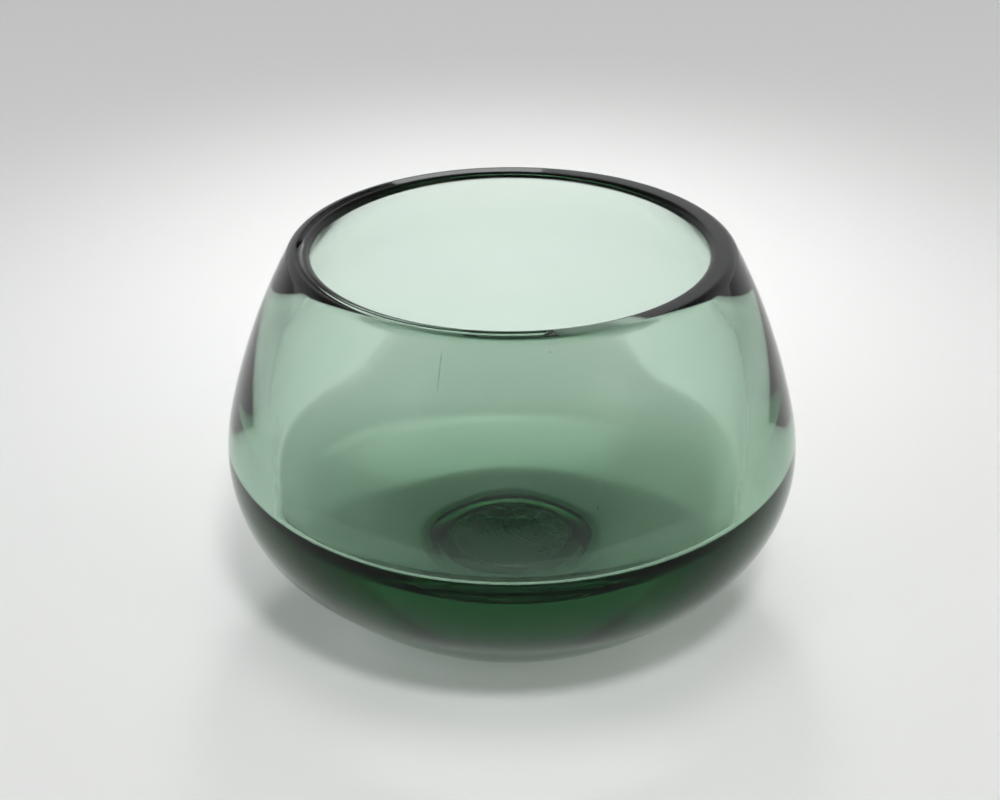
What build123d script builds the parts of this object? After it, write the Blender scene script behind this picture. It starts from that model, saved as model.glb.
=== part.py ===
"""A heavy mouth-blown glass bowl, standing mouth up on its thick kicked-up base.

Millimetres. The origin is the middle of the foot at table height, +Z is up and the mouth faces +Z.
Two pieces of glass make the object. The bowl is one blown and shaped bubble with a solid base. The
pontil scar is the stump of a second gather, the one that held the bowl on the punty iron while its
mouth was opened. The iron was knocked off cold, so the stump ends in a rough, shell-shaped break.
"""

import os
from math import cos, hypot, radians, sin, sqrt

from build123d import *

# Outside of the bowl
bowl_height = 84.8
belly_radius = 60.0
belly_height = 40.2
under_belly_lift = 24.8  # degrees by which the wall rises where it leaves the foot
lip_lean = 28.5  # degrees by which the wall leans inwards at the mouth

# Foot, the narrow ring that the bowl stands on
foot_radius = 23.0
foot_round = 3.0

# Lip, which the fire has softened into a rounded, level ring
lip_radius = 45.6
lip_width = 5.3
lip_outer_round = 2.2
lip_inner_round = 1.3

# Cavity
belly_wall = 9.6
cavity_belly_height = 43.0
cavity_lip_lean = 17.0  # degrees by which the inside leans inwards at the mouth
base_thickness = 23.0  # from the table to the lowest ring of the cavity floor
floor_ring_radius = 11.0
floor_rise = 0.6  # the kick lifts the middle of the floor too

# Kick, pushed up into the base, with a flat crown where the punty iron was stuck on
kick_radius = 20.0
kick_height = 4.3
kick_swell = 30.0  # radius of the curve from its crown down to the foot
kick_round = 1.2

# Pontil scar
scar_radius = 13.5
scar_lift = 1.8  # room between the broken face and the table
scar_neck_round = 1.0
scoop_depth = 1.2  # main hollow of the break
scoop_radius = 12.0  # its edge, on the broken face

# Chips along the scar's broken edge: angle in degrees, radius of the hollow, bite into the edge
chip_rise = 1.2  # how far up the stump's side they run
edge_chips = [
    (-38.0, 3.4, 1.6),
    (-12.0, 2.6, 2.1),
    (12.0, 3.0, 2.4),
    (34.0, 2.2, 1.9),
    (54.0, 3.2, 2.6),
    (80.0, 2.4, 1.8),
    (104.0, 2.8, 2.2),
    (131.0, 2.0, 1.2),
    (212.0, 3.6, 1.3),
]

# Balance of each curved wall: how far its first arc pulls it, against its second one
under_belly_balance = 1.4
over_belly_balance = 0.21
cavity_shoulder_balance = 1.9
cavity_base_balance = 0.42
floor_balance = 1.0

corner_tolerance = 0.01  # how closely a corner has to lie at its named place to be rounded


def direction(angle):
    """The unit vector at an angle in degrees above the section's outward axis."""
    return Vector(cos(radians(angle)), sin(radians(angle)))


def arc_pair(start, start_angle, end, end_angle, balance):
    """Two arcs that meet smoothly, leaving start and reaching end along the given angles.

    Each arc's ends are pulled equally far towards its outer corner. The two corners lie apart by the
    sum of the two pulls, which settles how long the pulls are once their balance is given.
    """
    start = Vector(*start)
    end = Vector(*end)
    leaving = direction(start_angle)
    arriving = direction(end_angle)
    span = end - start
    square = 2 * balance * (leaving.dot(arriving) - 1)
    linear = 2 * span.dot(leaving * balance + arriving)
    constant = span.dot(span)
    last_pull = 2 * constant / (linear + sqrt(linear**2 - 4 * square * constant))
    first_pull = balance * last_pull
    first_corner = start + leaving * first_pull
    last_corner = end - arriving * last_pull
    meeting = first_corner + (last_corner - first_corner) * (balance / (1 + balance))
    first = TangentArc(start, meeting, tangent=leaving)
    last = TangentArc(meeting, end, tangent=last_corner - first_corner)
    return [first, last]


def outer_wall():
    """Foot to belly to lip: a low swelling wall that leans inwards to the mouth."""
    foot = (foot_radius, 0)
    belly = (belly_radius, belly_height)
    lip = (lip_radius, bowl_height)
    under_belly = arc_pair(foot, under_belly_lift, belly, 90, under_belly_balance)
    over_belly = arc_pair(belly, 90, lip, 90 + lip_lean, over_belly_balance)
    return under_belly + over_belly


def cavity_wall():
    """Lip to cavity belly to floor ring to the middle of the floor."""
    lip = (lip_radius - lip_width, bowl_height)
    belly = (belly_radius - belly_wall, cavity_belly_height)
    floor_ring = (floor_ring_radius, base_thickness)
    floor_middle = (0, base_thickness + floor_rise)
    shoulder = arc_pair(lip, cavity_lip_lean - 90, belly, -90, cavity_shoulder_balance)
    base = arc_pair(belly, -90, floor_ring, 180, cavity_base_balance)
    floor = arc_pair(floor_ring, 180, floor_middle, 180, floor_balance)
    return shoulder + base + floor


def kick_crown_radius():
    """Radius of the kick's flat crown, which the scar's neck spreads out to fill."""
    return scar_radius + scar_neck_round


def sharp_section():
    """The bowl's half section before the fire softens it: foot, wall, lip, cavity and kick."""
    crown_edge = (kick_crown_radius(), kick_height)
    crown = Line((0, kick_height), crown_edge)
    kick = RadiusArc(crown_edge, (kick_radius, 0), kick_swell)
    foot = Line((kick_radius, 0), (foot_radius, 0))
    lip = Line((lip_radius, bowl_height), (lip_radius - lip_width, bowl_height))
    axis = Line((0, base_thickness + floor_rise), (0, kick_height))
    return make_face([crown, kick, foot, *outer_wall(), lip, *cavity_wall(), axis])


def soften(section, radius, height, rounding):
    """Round the corner of a half section that lies at a radius and a height."""
    corners = [
        corner
        for corner in section.vertices()
        if hypot(corner.X - radius, corner.Y - height) < corner_tolerance
    ]
    return fillet(corners, rounding)


def turn(section):
    """A half section, drawn with its height along Y, turned about the vertical axis."""
    return revolve(Plane.XZ * section, Axis.Z)


def make_bowl():
    """The blown bowl, with its lip, foot and kick softened by the fire."""
    section = Sketch() + sharp_section()
    section = soften(section, lip_radius, bowl_height, lip_outer_round)
    section = soften(section, lip_radius - lip_width, bowl_height, lip_inner_round)
    section = soften(section, foot_radius, 0, foot_round)
    section = soften(section, kick_radius, 0, kick_round)
    return turn(section)


def scar_blank():
    """The stump before it broke: a short drum that hangs from the crown, flared where it joins."""
    neck_start = (scar_radius, kick_height - scar_neck_round)
    neck_end = (kick_crown_radius(), kick_height)
    face = Line((0, scar_lift), (scar_radius, scar_lift))
    side = Line((scar_radius, scar_lift), neck_start)
    neck = TangentArc(neck_start, neck_end, tangent=(0, 1))
    seat = Line(neck_end, (0, kick_height))
    axis = Line((0, kick_height), (0, scar_lift))
    return turn(make_face([face, side, neck, seat, axis]))


def main_scoop():
    """The wide, shallow hollow that the break left in the middle of the stump's end."""
    ball = (scoop_radius**2 + scoop_depth**2) / (2 * scoop_depth)
    return Pos(0, 0, scar_lift + scoop_depth - ball) * Sphere(ball)


def edge_chip(angle, hollow_radius, bite):
    """One shell-shaped chip: a ball that bites into the broken edge and up the stump's side."""
    sunk = hollow_radius - chip_rise
    reach = scar_radius - bite + sqrt(hollow_radius**2 - sunk**2)
    centre = direction(angle) * reach
    return Pos(centre.X, centre.Y, scar_lift - sunk) * Sphere(hollow_radius)


def make_scar():
    """The pontil scar, seated on the kick's crown, with its broken face towards the table."""
    scar = scar_blank() - main_scoop()
    for angle, hollow_radius, bite in edge_chips:
        scar -= edge_chip(angle, hollow_radius, bite)
    return scar


def main():
    """Build both pieces and write one STEP file for each."""
    os.makedirs("parts", exist_ok=True)
    export_step(make_bowl(), "parts/blown_bowl.step")
    export_step(make_scar(), "parts/pontil_scar.step")


if __name__ == "__main__":
    main()
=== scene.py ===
"""The look of a heavy mouth-blown green glass bowl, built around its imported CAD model.

The CAD model has two solids, the blown bowl and the pontil scar under it. On the real bowl both are
one piece of glass, and light passes from one into the other with nothing in between. So one closed
skin stands for both here. It starts at the middle of the broken scar, runs down the kick, round the
foot, up the wall, over the lip, and down the cavity to the middle of its floor.
"""

import logging
import math
from dataclasses import dataclass
from enum import Enum
from typing import Any, Sequence

import bpy
import numpy as np
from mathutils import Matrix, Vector


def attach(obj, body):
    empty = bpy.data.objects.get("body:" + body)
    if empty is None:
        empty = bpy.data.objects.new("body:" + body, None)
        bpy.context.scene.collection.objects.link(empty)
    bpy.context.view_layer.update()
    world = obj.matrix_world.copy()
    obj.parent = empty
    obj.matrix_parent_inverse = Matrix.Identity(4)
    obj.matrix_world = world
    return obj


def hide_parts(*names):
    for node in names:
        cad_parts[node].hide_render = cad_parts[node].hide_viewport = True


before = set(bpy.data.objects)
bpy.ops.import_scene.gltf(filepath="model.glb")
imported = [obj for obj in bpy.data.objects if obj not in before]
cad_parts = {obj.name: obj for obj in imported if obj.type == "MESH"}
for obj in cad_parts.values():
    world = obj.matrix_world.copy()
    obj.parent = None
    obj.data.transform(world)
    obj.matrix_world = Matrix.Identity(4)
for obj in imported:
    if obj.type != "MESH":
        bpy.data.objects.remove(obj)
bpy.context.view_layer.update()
MM = 0.001
CLEAR_OF_ROUNDING = 1.02  # how many times a rounding's reach the next point has to be away
log = logging.getLogger("glass_bowl")

Point = tuple[float, float]
Outline = list[Point]


class Zone(Enum):
    """How the work left a stretch of the skin: how broken it is, and how much painted shade darkens
    it.
    """

    # Each value is how broken, then the share of painted shade: a dark tint for the bowl's shadow
    # on the table under the kick.
    BROKEN = (1.0, 0.5)
    PAINTED_SHADE = (0.0, 1.0)
    FIRE_POLISHED = (0.0, 0.0)


def linear(hex_colour: str) -> tuple[float, float, float, float]:
    """Turn an sRGB hex colour into linear light.

    Args:
        hex_colour: The colour, such as "#6DBC8E".

    Returns:
        Red, green, blue and an alpha of one.
    """
    parts = [int(hex_colour[i : i + 2], 16) / 255 for i in (1, 3, 5)]
    light = [c / 12.92 if c <= 0.04045 else ((c + 0.055) / 1.055) ** 2.4 for c in parts]
    return (light[0], light[1], light[2], 1.0)


def add_node(
    tree: bpy.types.NodeTree, kind: str, settings: dict[Any, Any], links: dict[Any, Any]
) -> Any:
    """Add one node to a tree, with its settings and what feeds its inputs.

    Args:
        tree: The node tree that the node goes into.
        kind: The node's type, without the leading "ShaderNode".
        settings: Attributes by name, and input values by socket name or number.
        links: The output socket that feeds each input, by the input's name or number.

    Returns:
        The new node.
    """
    node = tree.nodes.new("ShaderNode" + kind)
    for name, value in settings.items():
        if isinstance(name, str) and hasattr(node, name):
            setattr(node, name, value)
        else:
            node.inputs[name].default_value = value
    for name, source in links.items():
        tree.links.new(source, node.inputs[name])
    return node


def unit(angle: float) -> np.ndarray:
    """The unit vector at an angle in degrees above the outline's outward axis."""
    return np.array([math.cos(math.radians(angle)), math.sin(math.radians(angle))])


def arc(
    start: Sequence[float], corner: Sequence[float], end: Sequence[float], steps: int
) -> Outline:
    """Points along the arc that is tangent to both sides of a corner.

    Args:
        start: Where the arc leaves the first side.
        corner: Where the two sides would meet.
        end: Where the arc joins the second side.
        steps: Number of steps along the arc.

    Returns:
        The arc's points, both ends included.
    """
    a, b, c = (np.array(p, dtype=float) for p in (start, corner, end))
    into, out = (b - a) / np.linalg.norm(b - a), (c - b) / np.linalg.norm(c - b)
    weight = math.cos(math.acos(max(-1.0, min(1.0, float(into @ out)))) / 2)
    t = np.linspace(0.0, 1.0, steps + 1)[:, None]
    shares = ((1 - t) ** 2, 2 * weight * t * (1 - t), t**2)
    points = (shares[0] * a + shares[1] * b + shares[2] * c) / sum(shares)
    return [(float(r), float(z)) for r, z in points]


def arc_pair(
    start: Point, start_angle: float, end: Point, end_angle: float, balance: float, steps: int
) -> Outline:
    """Two arcs that meet smoothly, as the CAD model's walls are drawn.

    Args:
        start: Where the first arc starts.
        start_angle: Direction in which it leaves, in degrees.
        end: Where the second arc ends.
        end_angle: Direction in which it arrives, in degrees.
        balance: How far the first arc's ends are pulled to its corner, against the second one's.
        steps: Number of steps along each arc.

    Returns:
        The points of both arcs, both ends included.
    """
    first, last = np.array(start, dtype=float), np.array(end, dtype=float)
    leaving, arriving = unit(start_angle), unit(end_angle)
    span = last - first
    square = 2 * balance * (leaving @ arriving - 1)
    line = 2 * span @ (leaving * balance + arriving)
    pull = 2 * (span @ span) / (line + math.sqrt(line**2 - 4 * square * (span @ span)))
    corners = first + leaving * pull * balance, last - arriving * pull
    meeting = corners[0] + (corners[1] - corners[0]) * balance / (1 + balance)
    return arc(first, corners[0], meeting, steps) + arc(meeting, corners[1], last, steps)[1:]


def softened(before: Outline, after: Outline, rounding: float, steps: int) -> Outline:
    """Join two outlines that share a corner, with that corner rounded.

    Args:
        before: The outline that ends at the corner.
        after: The outline that starts at the corner.
        rounding: Radius of the rounding.
        steps: Number of steps round it.

    Returns:
        One outline.
    """
    corner = np.array(after[0])
    into = corner - np.array(before[-2])
    out = np.array(after[1]) - corner
    turn = math.acos(float(into @ out) / float(np.linalg.norm(into) * np.linalg.norm(out)))
    reach = rounding * math.tan(turn / 2)
    clear = reach * CLEAR_OF_ROUNDING
    kept_before = [p for p in before if math.dist(p, corner) > clear]
    kept_after = [p for p in after if math.dist(p, corner) > clear]
    start = corner - into / np.linalg.norm(into) * reach
    end = corner + out / np.linalg.norm(out) * reach
    return kept_before + arc(start, corner, end, steps) + kept_after


@dataclass(frozen=True)
class SodaLimeGlass:
    """Soda-lime glass, coloured grey-green in the pot, blown, and polished by the fire.

    The eye gets a clear, wet-looking skin that mirrors lamps sharply, and a colour that lives in
    the depth: nearly clear across the wall, bottle green down through the base. Where the punty
    broke off, the same glass is rough, so that the light in it scatters. A painted shade darkens it
    and the ring round it, standing in for the bowl's shadow on the table under the kick.
    """

    colour: str = "#6DBC8E"
    strength: float = 51.0
    # Soda-lime glass is nearer 1.52. This lower value was chosen for the bright side edges.
    bending: float = 1.38
    # Painted shade: a dark tint on the scar and kick, for the bowl's shadow on the table beneath
    # them.
    painted_shade_colour: str = "#1A5A2E"
    # Greyer than glass is, so that a pale table in front doesn't veil the deep green of the base.
    mirror_colour: str = "#A0A0A0"
    polished_roughness: float = 0.0
    broken_roughness: float = 0.1
    # Real hackle is finer. This is as coarse as it has to be to show.
    hackle_mm: float = 0.9
    hackle_detail: float = 4.0
    hackle_height_mm: float = 0.08

    def material(self) -> bpy.types.Material:
        """Make the glass, with its roughness and relief driven by the skin's broken zone, and its
        colour darkened by painted shade under the kick.

        Returns:
            The material.
        """
        glass = bpy.data.materials.new("green_soda_lime_glass")
        glass.use_nodes = True
        tree = glass.node_tree
        tree.nodes.clear()
        broken = add_node(tree, "Attribute", {"attribute_name": "broken"}, {}).outputs["Fac"]
        place = add_node(tree, "TexCoord", {}, {}).outputs["Object"]
        rough = add_node(
            tree,
            "MapRange",
            {"To Min": self.polished_roughness, "To Max": self.broken_roughness},
            {"Value": broken},
        ).outputs["Result"]
        hackle = add_node(
            tree,
            "TexNoise",
            {"Scale": 1 / (self.hackle_mm * MM), "Detail": self.hackle_detail},
            {"Vector": place},
        ).outputs["Fac"]
        chipped = add_node(tree, "Math", {"operation": "MULTIPLY"}, {0: hackle, 1: broken})
        relief = add_node(
            tree,
            "Bump",
            {"Strength": 1.0, "Distance": self.hackle_height_mm * MM},
            {"Height": chipped.outputs[0]},
        ).outputs["Normal"]
        # Painted shade: this tint darkens the scar and the kick, standing in for the shadow on the
        # table under them.
        painted_shade = add_node(tree, "Attribute", {"attribute_name": "painted_shade"}, {}).outputs["Fac"]
        painted_shade_tint = add_node(
            tree,
            "Mix",
            {"data_type": "RGBA", 6: (1.0, 1.0, 1.0, 1.0), 7: linear(self.painted_shade_colour)},
            {0: painted_shade},
        ).outputs[2]
        skin = add_node(
            tree,
            "BsdfPrincipled",
            {
                "IOR": self.bending,
                "Transmission Weight": 1.0,
                "Specular Tint": linear(self.mirror_colour),
            },
            {"Base Color": painted_shade_tint, "Roughness": rough, "Normal": relief},
        )
        depth = add_node(
            tree, "VolumeAbsorption", {"Color": linear(self.colour), "Density": self.strength}, {}
        )
        add_node(
            tree,
            "OutputMaterial",
            {},
            {"Surface": skin.outputs["BSDF"], "Volume": depth.outputs["Volume"]},
        )
        return glass


@dataclass
class PontilScar:
    """The stump of the second gather: a short drum with a rough, shell-shaped break.

    Sizes are millimetres. A chip is its angle in degrees, the radius of its hollow and its bite
    into the edge. A shell is a hollow that the break left in the face: its middle (x, y), its depth
    there and the radius of the ball that it follows.
    """

    radius: float = 13.5
    lift: float = 1.8
    neck_round: float = 1.0
    crown_height: float = 4.3
    chip_rise: float = 1.2
    face_rings: int = 44
    chips: tuple[tuple[float, float, float], ...] = (
        (-38.0, 3.4, 1.6),
        (-12.0, 2.6, 2.1),
        (12.0, 3.0, 2.4),
        (34.0, 2.2, 1.9),
        (54.0, 3.2, 2.6),
        (80.0, 2.4, 1.8),
        (104.0, 2.8, 2.2),
        (131.0, 2.0, 1.2),
        (212.0, 3.6, 1.3),
    )
    shells: tuple[tuple[float, float, float, float], ...] = (
        (-1.0, -2.0, 1.25, 46.0),
        (5.5, 5.0, 0.95, 16.0),
        (-5.0, 7.5, 0.9, 14.0),
        (9.0, -1.5, 0.8, 11.0),
        (1.5, 9.0, 0.85, 9.0),
        (-9.5, 2.5, 0.6, 18.0),
        (6.5, -8.5, 0.6, 15.0),
    )
    rib_step: float = 1.5
    rib_height: float = 0.05
    blow_aside: float = 0.6  # how far the blow that broke it fell to one side, in scar radii
    side_steps: int = 5
    neck_steps: int = 6

    def crown_radius(self) -> float:
        """Radius at which the neck spreads out into the kick."""
        return self.radius + self.neck_round

    def edge(self, angles: np.ndarray, height: float) -> np.ndarray:
        """How far out the drum reaches once its edge is chipped.

        Args:
            angles: Angles about the bowl's axis, in radians.
            height: Height above the table.

        Returns:
            A radius for each angle.
        """
        reach = np.full_like(angles, self.radius)
        for angle, hollow, bite in self.chips:
            sunk = hollow - self.chip_rise
            left = hollow**2 - (height - self.lift + sunk) ** 2
            centre = self.radius - bite + math.sqrt(hollow**2 - sunk**2)
            aside = centre * np.sin(angles - math.radians(angle))
            facing = np.cos(angles - math.radians(angle)) > 0
            room = left - aside**2
            bitten = centre * np.cos(angles - math.radians(angle)) - np.sqrt(np.maximum(room, 0))
            reach = np.where(facing & (room > 0), np.minimum(reach, bitten), reach)
        return reach

    def face_height(self, x: np.ndarray, y: np.ndarray) -> np.ndarray:
        """Height of the broken face: overlapping shells with faint ribs, as glass breaks.

        Args:
            x: Place across the face, in millimetres.
            y: Place across the face, in millimetres.

        Returns:
            Heights above the table.
        """
        heights = np.full_like(x, self.lift)
        for middle_x, middle_y, depth, ball in self.shells:
            away = (x - middle_x) ** 2 + (y - middle_y) ** 2
            heights = np.maximum(heights, self.lift + depth - away / (2 * ball))
        struck = np.hypot(x - self.radius, y - self.radius * self.blow_aside)
        ribs = self.rib_height * np.sin(2 * math.pi * struck / self.rib_step)
        return heights + ribs


@dataclass
class HandWork:
    """The small unevenness that hand and breath leave in a turned form. Millimetres and radians.

    Every change of the outside takes glass away, so that the bowl stays within its true outline.
    A wave is how often it goes round the bowl, its twist for each millimetre of height, and its
    start.
    """

    out_of_round: float = 0.1
    oval_start: float = -0.9
    oval_twist: float = 0.01
    wave: float = 0.02
    outside_waves: tuple[tuple[int, float, float], ...] = ((3, 0.16, 0.0), (7, -0.11, 1.3))
    inside_waves: tuple[tuple[int, float, float], ...] = ((2, 0.13, 0.4), (5, -0.09, 0.0))
    true_at_foot: float = 12.0  # height over which the unevenness fades in from the foot
    true_in_middle: float = 6.0  # radius of the cavity's floor that stays true
    floor_fade: float = 30.0
    lip_dip: float = 0.12
    dip_angle: float = 2.2
    cavity_shift_at_lip: float = -0.35
    cavity_shift_at_belly: float = -0.5

    def sway(
        self, waves: Sequence[tuple[int, float, float]], angles: np.ndarray, height: float
    ) -> np.ndarray:
        """All the waves together at each angle, each of them between -1 and 1."""
        return sum(np.sin(count * angles + height * twist + start) for count, twist, start in waves)

    def outside(self, angles: np.ndarray, height: float, radius: float) -> np.ndarray:
        """Radius of the outer skin at each angle.

        Args:
            angles: Angles about the bowl's axis, in radians.
            height: Height above the table.
            radius: Radius of the true outline there.

        Returns:
            A radius for each angle.
        """
        fade = min(1.0, max(0.0, height / self.true_at_foot))
        oval_turn = 2 * angles + self.oval_start + height * self.oval_twist
        oval = self.out_of_round * (1 + np.cos(oval_turn)) / 2
        waves = self.sway(self.outside_waves, angles, height)
        return radius - fade * (oval + self.wave * (2 + waves))

    def inside(self, angles: np.ndarray, height: float, radius: float) -> np.ndarray:
        """Radius of the cavity's skin at each angle.

        Args:
            angles: Angles about the cavity's axis, in radians.
            height: Height above the table.
            radius: Radius of the true outline there.

        Returns:
            A radius for each angle.
        """
        fade = min(1.0, max(0.0, (radius - self.true_in_middle) / self.floor_fade))
        waves = self.sway(self.inside_waves, angles, height)
        return radius + fade * self.wave * waves


@dataclass
class Seed:
    """A seed: a bubble of air that the melt kept. Blowing draws it out along the wall.

    Millimetres and degrees. Stretch is its length over its width, and lean tilts its top outwards.
    """

    angle: float
    radius: float
    height: float
    size: float
    stretch: float = 1.0
    lean: float = 0.0
    sides: int = 10
    levels: int = 6

    def points(self) -> np.ndarray:
        """The points of its skin: its bottom, the rings between, and its top.

        Returns:
            The points in millimetres, in rows.
        """
        points = [(0.0, 0.0, -self.stretch)]
        for level in range(1, self.levels):
            tilt = math.pi * level / self.levels - math.pi / 2
            for side in range(self.sides):
                spin = 2 * math.pi * side / self.sides
                x, y = math.cos(tilt) * math.cos(spin), math.cos(tilt) * math.sin(spin)
                points.append((x, y, self.stretch * math.sin(tilt)))
        points.append((0.0, 0.0, self.stretch))
        x, y, z = (np.array(points) * self.size).T
        x = x + z * math.tan(math.radians(self.lean)) + self.radius
        cos, sin = math.cos(math.radians(self.angle)), math.sin(math.radians(self.angle))
        return np.stack([x * cos - y * sin, x * sin + y * cos, z + self.height], axis=1)

    def faces(self, first: int) -> list[tuple[int, ...]]:
        """Its faces, which look inwards because the glass is outside it.

        Args:
            first: Number of its first point in the whole mesh.

        Returns:
            The faces.
        """
        faces: list[tuple[int, ...]] = []
        last = first + 1 + (self.levels - 2) * self.sides
        top = last + self.sides
        for side in range(self.sides):
            beside = (side + 1) % self.sides
            faces.append((first, first + 1 + side, first + 1 + beside))
            for level in range(self.levels - 2):
                low = first + 1 + level * self.sides
                high = low + self.sides
                faces.append((low + side, high + side, high + beside, low + beside))
            faces.append((last + side, top, last + beside))
        return faces


@dataclass
class BlownBowl:
    """The bowl's glass: foot, wall, lip, cavity and kick, with the scar at the kick's crown.

    Sizes are millimetres and degrees. The outer skin has the CAD model's. The cavity was set apart
    from it: at its belly it is 4.4 mm lower and 1.1 mm roomier.
    """

    scar: PontilScar
    hand: HandWork
    glass: SodaLimeGlass
    seeds: Sequence[Seed]
    height: float = 84.8
    belly_radius: float = 60.0
    belly_height: float = 40.2
    under_belly_lift: float = 24.8
    lip_lean: float = 28.5
    foot_radius: float = 23.0
    foot_round: float = 3.0
    lip_radius: float = 45.6
    lip_width: float = 5.3
    lip_outer_round: float = 2.2
    lip_inner_round: float = 1.3
    belly_wall: float = 8.5
    cavity_belly_height: float = 38.6
    cavity_lip_lean: float = 14.0
    base_thickness: float = 22.8
    floor_ring_radius: float = 12.0
    floor_rise: float = 0.6
    kick_radius: float = 20.0
    kick_swell: float = 30.0
    kick_round: float = 1.2
    painted_shade_radius: float = 18.0  # how far the painted shade spreads over the kick
    under_belly_balance: float = 1.4
    over_belly_balance: float = 0.21
    cavity_shoulder_balance: float = 0.4
    cavity_base_balance: float = 0.08
    floor_balance: float = 1.0
    columns: int = 288
    wall_steps: int = 28
    round_steps: int = 8
    kick_steps: int = 16

    def foot_outline(self) -> Outline:
        """Draw the underside, from the kick's crown to the foot's outer corner.

        Returns:
            The outline.
        """
        crown = (self.scar.crown_radius(), self.scar.crown_height)
        edge = (self.kick_radius, 0.0)
        chord = math.dist(crown, edge)
        drop = math.degrees(math.atan2(-crown[1], edge[0] - crown[0]))
        half = math.degrees(math.asin(chord / 2 / self.kick_swell))
        corner = np.array(crown) + unit(drop + half) * chord / 2 / math.cos(math.radians(half))
        kick = arc(crown, corner, edge, self.kick_steps)
        foot = [edge, ((edge[0] + self.foot_radius) / 2, 0.0), (self.foot_radius, 0.0)]
        return softened(kick, foot, self.kick_round, self.round_steps)

    def wall_outline(self) -> Outline:
        """Draw the outer wall, from the foot's outer corner to the lip's.

        Returns:
            The outline.
        """
        foot, belly = (self.foot_radius, 0.0), (self.belly_radius, self.belly_height)
        lip = (self.lip_radius, self.height)
        steps = self.wall_steps
        lower = arc_pair(foot, self.under_belly_lift, belly, 90.0, self.under_belly_balance, steps)
        upper = arc_pair(belly, 90.0, lip, 90.0 + self.lip_lean, self.over_belly_balance, steps)
        return lower + upper[1:]

    def cavity_outline(self) -> Outline:
        """Draw the cavity, from the lip's inner corner to just short of its floor's middle.

        Returns:
            The outline.
        """
        lip = (self.lip_radius - self.lip_width, self.height)
        belly = (self.belly_radius - self.belly_wall, self.cavity_belly_height)
        ring = (self.floor_ring_radius, self.base_thickness)
        middle = (0.0, self.base_thickness + self.floor_rise)
        steps, down = self.wall_steps, self.cavity_lip_lean - 90
        shoulder = arc_pair(lip, down, belly, -90.0, self.cavity_shoulder_balance, steps)
        base = arc_pair(belly, -90.0, ring, 180.0, self.cavity_base_balance, steps)
        floor = arc_pair(ring, 180.0, middle, 180.0, self.floor_balance, self.round_steps)
        return shoulder + base[1:] + floor[1:-1]

    def rings(self) -> tuple[list[np.ndarray], list[Zone]]:
        """Every ring of the skin, from the scar's middle to the middle of the cavity's floor.

        Returns:
            The rings, each a row of points in millimetres, and for each one how the work left it
            and how much painted shade it gets.
        """
        angles = np.linspace(0, 2 * math.pi, self.columns, endpoint=False)
        rings, zones = [], []

        def add(radii: np.ndarray, heights: Any, zone: Zone, shift: float = 0.0) -> None:
            """Add one ring of the skin.

            Args:
                radii: A radius for each angle.
                heights: A height for each angle, or one for all of them.
                zone: How the work left it, and how much painted shade it gets.
                shift: How far the ring sits off the bowl's axis.
            """
            x, y = radii * np.cos(angles) + shift, radii * np.sin(angles)
            rings.append(np.stack([x, y, np.broadcast_to(heights, x.shape)], axis=1))
            zones.append(zone)

        scar = self.scar
        rim = scar.edge(angles, scar.lift)
        for step in range(1, scar.face_rings + 1):
            radii = rim * step / scar.face_rings
            heights = scar.face_height(radii * np.cos(angles), radii * np.sin(angles))
            add(radii, heights, Zone.BROKEN)
        face_edge = rings[-1][:, 2]
        neck_height = scar.crown_height - scar.neck_round
        for step in range(1, scar.side_steps + 1):
            level = scar.lift + (neck_height - scar.lift) * step / scar.side_steps
            heights = face_edge + (neck_height - face_edge) * step / scar.side_steps
            add(scar.edge(angles, level), heights, Zone.BROKEN)
        for step in range(1, scar.neck_steps + 1):
            turn = math.radians(90 * step / scar.neck_steps)
            level = neck_height + scar.neck_round * math.sin(turn)
            flare = scar.neck_round * (1 - math.cos(turn))
            # The neck gets the painted shade too.
            add(scar.edge(angles, level) + flare, level, Zone.PAINTED_SHADE)
        foot = softened(self.foot_outline(), self.wall_outline(), self.foot_round, self.round_steps)
        inner_lip = (self.lip_radius - self.lip_width, self.height)
        lip = [(self.lip_radius, self.height), ((self.lip_radius + inner_lip[0]) / 2, self.height)]
        outer = softened(foot, lip, self.lip_outer_round, self.round_steps)
        across_lip = [lip[1], inner_lip]
        cavity = softened(across_lip, self.cavity_outline(), self.lip_inner_round, self.round_steps)
        for radius, level in outer[1:]:
            radii = self.hand.outside(angles, level, radius)
            # Painted shade on the kick inside this radius, where the table under it lies in the
            # bowl's shadow.
            zone = Zone.PAINTED_SHADE if radius < self.painted_shade_radius else Zone.FIRE_POLISHED
            add(radii, self.dipped(angles, level), zone)
        for radius, level in cavity:
            radii = self.hand.inside(angles, level, radius)
            add(radii, self.dipped(angles, level), Zone.FIRE_POLISHED, self.cavity_shift(level))
        return rings, zones

    def dipped(self, angles: np.ndarray, level: float) -> np.ndarray:
        """Let a ring down a little where the lip isn't level.

        Args:
            angles: Angles about the bowl's axis, in radians.
            level: Height of the true outline there.

        Returns:
            A height for each angle.
        """
        rise = self.height - self.belly_height
        near_lip = min(1.0, max(0.0, (level - self.belly_height) / rise))
        dip = (1 + np.cos(angles - self.hand.dip_angle)) / 2
        return level - self.hand.lip_dip * near_lip**2 * dip

    def cavity_shift(self, level: float) -> float:
        """Find how far the cavity sits off the bowl's axis.

        Args:
            level: Height above the table.

        Returns:
            The distance along X, in millimetres.
        """
        down = min(1.0, max(0.0, (self.height - level) / (self.height - self.cavity_belly_height)))
        low, high = self.hand.cavity_shift_at_belly, self.hand.cavity_shift_at_lip
        return high + (low - high) * down

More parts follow.
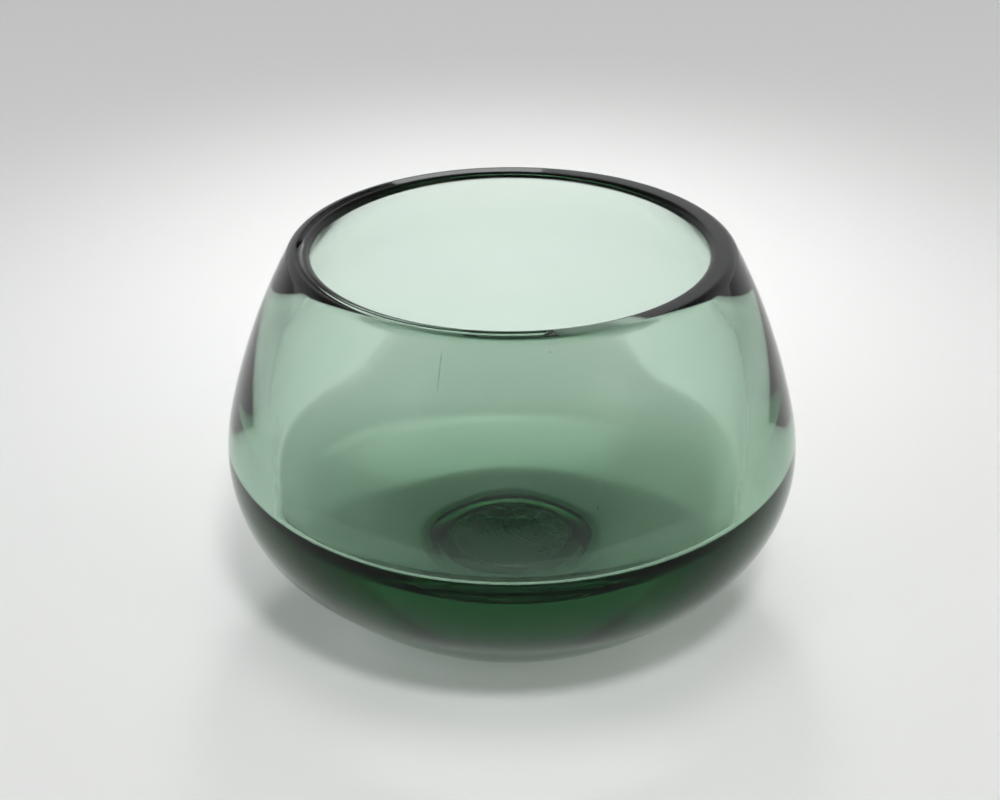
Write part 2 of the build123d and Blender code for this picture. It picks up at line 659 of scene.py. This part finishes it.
    def build(self) -> bpy.types.Object:
        """Make the bowl's glass as one closed skin, with its seeds as bubbles inside it.

        Returns:
            The piece, riding on the part and standing for both CAD solids.
        """
        rings, zones = self.rings()
        n = self.columns
        points = [np.array([[0.0, 0.0, rings[0][:, 2].mean()]]), *rings]
        last_shift = self.cavity_shift(0.0)
        points.append(np.array([[last_shift, 0.0, self.base_thickness + self.floor_rise]]))
        left = [Zone.BROKEN] + [zone for zone in zones for _ in range(n)] + [Zone.FIRE_POLISHED]
        faces: list[tuple[int, ...]] = []
        top = 1 + len(rings) * n
        for i in range(n):
            j = (i + 1) % n
            faces.append((0, 1 + j, 1 + i))
            faces.append((top, top - n + i, top - n + j))
            for ring in range(len(rings) - 1):
                a, b = 1 + ring * n, 1 + (ring + 1) * n
                faces.append((a + i, a + j, b + j, b + i))
        count = top + 1
        for seed in self.seeds:
            bubble = seed.points()
            points.append(bubble)
            faces += seed.faces(count)
            left += [Zone.FIRE_POLISHED] * len(bubble)
            count += len(bubble)
        mesh = bpy.data.meshes.new("glass_bowl")
        mesh.from_pydata((np.concatenate(points) * MM).tolist(), [], faces)
        # The second attribute carries the painted shade under the kick.
        for place, name in enumerate(("broken", "painted_shade")):
            values = [zone.value[place] for zone in left]
            mesh.attributes.new(name, "FLOAT", "POINT").data.foreach_set("value", values)
        mesh.polygons.foreach_set("use_smooth", [True] * len(mesh.polygons))
        mesh.update()
        mesh.materials.append(self.glass.material())
        piece = bpy.data.objects.new("glass_bowl", mesh)
        piece.cycles.is_caustics_caster = True
        bpy.context.scene.collection.objects.link(piece)
        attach(piece, "root")
        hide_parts("blown_bowl", "pontil_scar")
        return piece


@dataclass(frozen=True)
class PaleTable:
    """A matt, off-white laminate table top, smooth enough to lie still under the glass."""

    colour: str = "#F7F7F6"
    roughness: float = 0.75
    width: float = 12.0
    gap: float = 0.00005

    def build(self) -> bpy.types.Object:
        """Lay the table under the bowl.

        Returns:
            The table, which isn't part of the object.
        """
        half = self.width / 2
        corners = [(-half, -half, 0), (half, -half, 0), (half, half, 0), (-half, half, 0)]
        mesh = bpy.data.meshes.new("table")
        mesh.from_pydata(corners, [], [(0, 1, 2, 3)])
        top = bpy.data.materials.new("matt_laminate")
        top.use_nodes = True
        top.node_tree.nodes.clear()
        look = {"Base Color": linear(self.colour), "Roughness": self.roughness}
        skin = add_node(top.node_tree, "BsdfPrincipled", look, {})
        add_node(top.node_tree, "OutputMaterial", {}, {"Surface": skin.outputs["BSDF"]})
        mesh.materials.append(top)
        table = bpy.data.objects.new("table", mesh)
        table.location.z = -self.gap
        table.cycles.is_caustics_receiver = True
        bpy.context.scene.collection.objects.link(table)
        return table


@dataclass(frozen=True)
class SoftBox:
    """A soft rectangular lamp, aimed at the bowl or at the table behind it.

    Metres, degrees and watts per square metre. Azimuth is 0 in front of the bowl and grows to the
    right. A lamp that the glass focuses makes bright patches on the table through it.
    """

    name: str
    azimuth: float
    elevation: float
    distance: float
    width: float
    height: float
    brightness: float
    colour: str = "#FFFFFF"
    seen_in_glass: bool = True
    focused_by_glass: bool = False
    spread: float = 180.0
    behind: float = 0.0

    def build(self, aim: Vector) -> bpy.types.Object:
        """Hang the lamp.

        Args:
            aim: The point that it faces.

        Returns:
            The lamp.
        """
        light = bpy.data.lights.new(self.name, "AREA")
        light.shape = "RECTANGLE"
        light.size, light.size_y = self.width, self.height
        light.color = linear(self.colour)[:3]
        light.energy = self.brightness * math.pi * self.width * self.height
        lamp = bpy.data.objects.new(self.name, light)
        turn, rise = math.radians(self.azimuth), math.radians(self.elevation)
        level = math.cos(rise)
        away = Vector((math.sin(turn) * level, -math.cos(turn) * level, math.sin(rise)))
        light.spread = math.radians(self.spread)
        lamp.location = aim + Vector((0.0, self.behind, 0.0)) + away * self.distance
        lamp.rotation_euler = (-away).to_track_quat("-Z", "Y").to_euler()
        lamp.visible_glossy = self.seen_in_glass
        lamp.visible_transmission = self.seen_in_glass
        light.cycles.is_caustics_light = self.focused_by_glass
        bpy.context.scene.collection.objects.link(lamp)
        return lamp


@dataclass(frozen=True)
class Studio:
    """A pale room with soft lamps. Clear glass shows the room, so its tones decide the glass's.

    As it is seen, the room is pale up to the wall's top and dim from the ceiling on, which draws
    the dark lip. As it lights, most of it comes in low, so that it reaches under the belly. The
    seen and light fields are strengths, dimmed is a share of them, and the rest of the numbers are
    degrees above the horizon.
    """

    room_colour: str = "#F4F6F5"
    room_seen: float = 0.95
    wall_top: float = 24.0
    ceiling_from: float = 42.0
    ceiling_seen: float = 0.3
    dimmed_through_glass: float = 0.3
    room_light: float = 0.06
    horizon_light: float = 3.3
    horizon_full: float = 10.0
    horizon_to: float = 24.0
    lamps: tuple[SoftBox, ...] = (
        SoftBox(
            "key",
            azimuth=8.0,
            elevation=50.0,
            distance=1.2,
            width=0.16,
            height=0.16,
            brightness=66.0,
            seen_in_glass=False,
            focused_by_glass=True,
        ),
        SoftBox(
            "background",
            azimuth=180.0,
            elevation=58.0,
            distance=0.5,
            width=0.14,
            height=0.1,
            brightness=2.2,
            seen_in_glass=False,
            focused_by_glass=True,
            spread=42.0,
            behind=0.175,
        ),
        SoftBox(
            "overhead",
            azimuth=0.0,
            elevation=80.0,
            distance=1.1,
            width=0.5,
            height=0.5,
            brightness=2.4,
            focused_by_glass=True,
        ),
        SoftBox(
            "window",
            azimuth=-45.0,
            elevation=27.0,
            distance=1.4,
            width=0.3,
            height=0.9,
            brightness=1.3,
            colour="#E6F0FF",
        ),
        SoftBox(
            "side",
            azimuth=48.0,
            elevation=25.0,
            distance=1.4,
            width=0.5,
            height=0.7,
            brightness=1.0,
            colour="#FFF6E8",
        ),
    )

    def room(self) -> bpy.types.World:
        """Make the room, which is seen in one way and lights in another.

        Returns:
            The world.
        """
        world = bpy.data.worlds.new("pale_room")
        world.use_nodes = True
        tree = world.node_tree
        tree.nodes.clear()
        path = add_node(tree, "LightPath", {}, {})
        mirrored = add_node(
            tree,
            "Math",
            {"operation": "ADD"},
            {0: path.outputs["Is Camera Ray"], 1: path.outputs["Is Glossy Ray"]},
        )
        seen = add_node(
            tree,
            "Math",
            {"operation": "ADD", "use_clamp": True},
            {0: mirrored.outputs[0], 1: path.outputs["Is Transmission Ray"]},
        )
        fresh = add_node(
            tree, "Math", {"operation": "LESS_THAN", 1: 0.5}, {0: path.outputs["Diffuse Depth"]}
        )
        both = add_node(
            tree, "Math", {"operation": "MULTIPLY"}, {0: seen.outputs[0], 1: fresh.outputs[0]}
        )
        way = add_node(tree, "TexCoord", {}, {}).outputs["Generated"]
        height = add_node(tree, "SeparateXYZ", {}, {0: way}).outputs["Z"]
        graded = add_node(
            tree,
            "MapRange",
            {
                "interpolation_type": "SMOOTHSTEP",
                "From Min": math.sin(math.radians(self.wall_top)),
                "From Max": math.sin(math.radians(self.ceiling_from)),
                "To Min": self.room_seen,
                "To Max": self.ceiling_seen,
            },
            {"Value": height},
        )
        through = add_node(
            tree,
            "MapRange",
            {"To Min": 1.0, "To Max": 1.0 - self.dimmed_through_glass},
            {"Value": path.outputs["Is Transmission Ray"]},
        )
        shown = add_node(
            tree,
            "Math",
            {"operation": "MULTIPLY"},
            {0: graded.outputs["Result"], 1: through.outputs["Result"]},
        )
        low_light = add_node(
            tree,
            "MapRange",
            {
                "interpolation_type": "SMOOTHSTEP",
                "From Min": math.sin(math.radians(self.horizon_full)),
                "From Max": math.sin(math.radians(self.horizon_to)),
                "To Min": self.horizon_light,
                "To Max": self.room_light,
            },
            {"Value": height},
        )
        level = add_node(
            tree,
            "Mix",
            {"data_type": "FLOAT"},
            {0: both.outputs[0], 2: low_light.outputs["Result"], 3: shown.outputs[0]},
        )
        glow = add_node(
            tree, "Background", {"Color": linear(self.room_colour)}, {"Strength": level.outputs[0]}
        )
        add_node(tree, "OutputWorld", {}, {"Surface": glow.outputs["Background"]})
        bpy.context.scene.world = world
        return world


@dataclass(frozen=True)
class Viewpoint:
    """Where the bowl is seen from: a standing look down at a table.

    Metres and degrees, with the focal length and the sensor's width in millimetres.
    """

    elevation: float = 27.42
    distance: float = 0.503
    aim_height: float = 0.04
    focal_length: float = 85.3
    sensor_width: float = 36.0
    shift_x: float = -0.012
    shift_y: float = 0.0404

    def aim(self) -> Vector:
        """The point that the view turns about."""
        return Vector((0.0, 0.0, self.aim_height))

    def build(self) -> bpy.types.Object:
        """Set up the camera.

        Returns:
            The camera.
        """
        camera = bpy.data.cameras.new("camera")
        camera.sensor_width = self.sensor_width
        camera.lens = self.focal_length
        camera.shift_x, camera.shift_y = self.shift_x, self.shift_y
        eye = bpy.data.objects.new("camera", camera)
        rise = math.radians(self.elevation)
        back = Vector((0.0, -math.cos(rise), math.sin(rise)))
        eye.location = self.aim() + back * self.distance
        eye.rotation_euler = (-back).to_track_quat("-Z", "Y").to_euler()
        bpy.context.scene.collection.objects.link(eye)
        bpy.context.scene.camera = eye
        return eye


def main() -> None:
    """Build the bowl, the table, the studio and the camera, in that order."""
    logging.basicConfig(level=logging.INFO, format="%(name)s: %(message)s")
    bpy.context.scene.view_settings.view_transform = "Standard"
    # Angle, radius, height, size, then stretch and lean where it was drawn out.
    seeds = (
        Seed(-106.5, 47.6, 78.2, 0.1, 36.0, -23.0),
        Seed(-81.1, 45.6, 82.0, 0.14),
        Seed(-33.0, 48.8, 75.0, 0.16),
        Seed(-122.8, 53.2, 64.0, 0.14),
        Seed(-111.0, 52.0, 67.1, 0.1),
        Seed(-105.7, 51.8, 67.8, 0.1),
        Seed(-103.5, 54.6, 59.0, 0.13),
        Seed(-73.3, 56.0, 53.7, 0.13, 5.0, -10.0),
    )
    bowl = BlownBowl(PontilScar(), HandWork(), SodaLimeGlass(), seeds).build()
    log.info("%s: %d faces", bowl.name, len(bowl.data.polygons))
    table = PaleTable().build()
    log.info("%s laid", table.name)
    view = Viewpoint()
    studio = Studio()
    studio.room()
    for lamp in studio.lamps:
        log.info("%s lamp hung", lamp.build(view.aim()).name)
    view.build()


if __name__ == "__main__":
    main()
